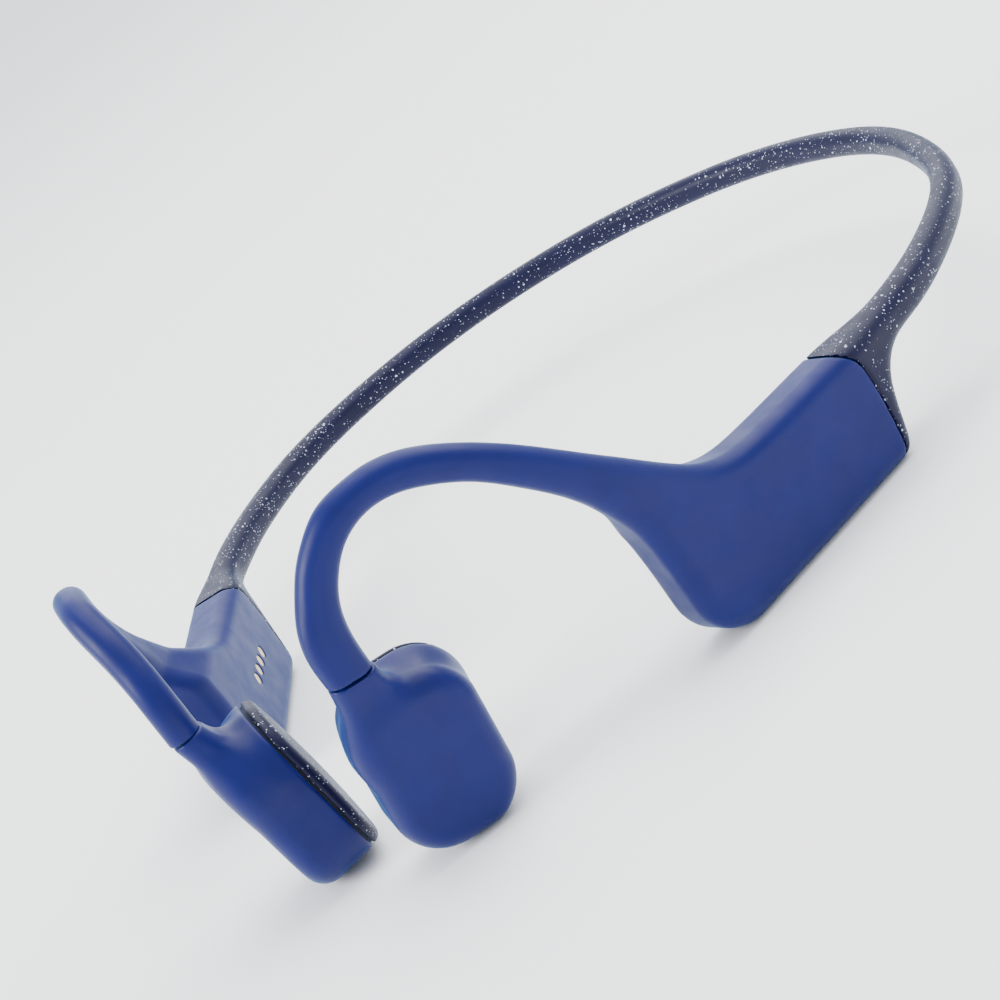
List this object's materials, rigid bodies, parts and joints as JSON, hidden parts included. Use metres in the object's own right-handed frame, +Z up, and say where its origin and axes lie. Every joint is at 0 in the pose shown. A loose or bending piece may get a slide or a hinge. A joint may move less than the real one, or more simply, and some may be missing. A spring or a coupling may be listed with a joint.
{
  "type": "bone conduction headphones",
  "caption": "Wraparound headphones with cheekbone transducers on ear hooks, pods behind the ears and a thin sprung neckband.",
  "frame": {"origin": "centre of the footprint of the whole object's box, on the surface that the pods stand on", "axes": "+Z up, +Y towards the nape (the wearer's back), +X towards the wearer's left"},
  "size_m": [0.1354, 0.1569, 0.0497],
  "materials": {
    "blue_silicone": "soft matt silicone with a faint satin sheen",
    "speckled_silicone": "matt navy silicone with fine pale specks",
    "blue_shell_plastic": "fine matt moulded plastic",
    "dark_button_rubber": "matt navy silicone keys",
    "contact_gold": "gold plated contact faces",
    "light_guide": "milky clear plastic",
    "light_body": "white LED body",
    "case_plastic": "black glass-filled nylon",
    "seal_rubber": "black sealing ring",
    "spring_titanium": "drawn titanium memory wire",
    "cable_jacket": "thin black jacket",
    "drive_steel": "stamped steel",
    "magnet_nickel": "nickel plated magnet",
    "coil_copper": "lacquered copper winding",
    "cell_foil": "aluminium pouch foil",
    "foam": "black foam",
    "board_laminate": "green solder mask",
    "chip_black": "black moulded package",
    "switch_metal": "tinned switch cover"
  },
  "bodies": {
    "left_half": {"battery_cell": "cell_foil", "battery_foam_pad": "foam", "battery_protection_board": "board_laminate", "left_contact_pad": "speckled_silicone", "left_drive_frame": "case_plastic", "left_drive_spring_plate": "drive_steel", "left_hook_and_pod_skin": "blue_silicone", "left_hook_cable": "cable_jacket", "left_hook_wire": "spring_titanium", "left_hook_wire_anchor": "case_plastic", "left_neckband_cable": "cable_jacket", "left_neckband_sleeve": "speckled_silicone", "left_neckband_wire": "spring_titanium", "left_neckband_wire_anchor": "case_plastic", "left_pod_case": "case_plastic", "left_pod_case_lid": "case_plastic", "left_transducer_seal": "seal_rubber", "left_transducer_shell": "blue_shell_plastic", "left_voice_coil": "coil_copper"},
    "right_half": {"charging_contacts": "contact_gold", "contact_carrier": "case_plastic", "light_pipe": "light_guide", "main_board": "board_laminate", "memory_chip": "chip_black", "processor_chip": "chip_black", "right_contact_pad": "speckled_silicone", "right_drive_frame": "case_plastic", "right_drive_spring_plate": "drive_steel", "right_hook_and_pod_skin": "blue_silicone", "right_hook_cable": "cable_jacket", "right_hook_wire": "spring_titanium", "right_hook_wire_anchor": "case_plastic", "right_neckband_cable": "cable_jacket", "right_neckband_sleeve": "speckled_silicone", "right_neckband_wire": "spring_titanium", "right_neckband_wire_anchor": "case_plastic", "right_pod_case": "case_plastic", "right_pod_case_lid": "case_plastic", "right_transducer_seal": "seal_rubber", "right_transducer_shell": "blue_shell_plastic", "right_voice_coil": "coil_copper", "status_light": "light_body", "tactile_switches": "switch_metal"},
    "left_drive": {"left_drive_yoke": "drive_steel", "left_drive_magnet": "magnet_nickel", "left_drive_top_plate": "drive_steel", "left_drive_rivet": "drive_steel"},
    "right_drive": {"right_drive_yoke": "drive_steel", "right_drive_magnet": "magnet_nickel", "right_drive_top_plate": "drive_steel", "right_drive_rivet": "drive_steel"},
    "volume_up_key": {"volume_up_button": "dark_button_rubber"},
    "volume_down_key": {"volume_down_button": "dark_button_rubber"},
    "play_key": {"play_button": "dark_button_rubber"},
    "mode_key": {"mode_button": "dark_button_rubber"}
  },
  "joints": [
    {"name": "neckband_spread", "type": "hinge", "parent": "left_half", "child": "right_half", "pos_m": [0, 0.07865, 0.0165], "axis": [0, 0, -1], "range_deg": [0, 40], "stiffness_Nm_per_rad": 0.16},
    {"name": "left_drive_shake", "type": "slide", "parent": "left_half", "child": "left_drive", "axis": [0.7026, -0.7026, -0.1132], "range_m": [-0.00025, 0.00025], "stiffness_N_per_m": 2900},
    {"name": "right_drive_shake", "type": "slide", "parent": "right_half", "child": "right_drive", "axis": [-0.7026, -0.7026, -0.1132], "range_m": [-0.00025, 0.00025], "stiffness_N_per_m": 2900},
    {"name": "volume_up_press", "type": "slide", "parent": "right_half", "child": "volume_up_key", "axis": [0, 0, 1], "range_m": [0, 0.00035], "stiffness_N_per_m": 1500},
    {"name": "volume_down_press", "type": "slide", "parent": "right_half", "child": "volume_down_key", "axis": [0, 0, 1], "range_m": [0, 0.00035], "stiffness_N_per_m": 1500},
    {"name": "play_press", "type": "slide", "parent": "right_half", "child": "play_key", "axis": [0, 0, 1], "range_m": [0, 0.00035], "stiffness_N_per_m": 1500},
    {"name": "mode_press", "type": "slide", "parent": "right_half", "child": "mode_key", "axis": [0, 0, 1], "range_m": [0, 0.00035], "stiffness_N_per_m": 1500}
  ]
}
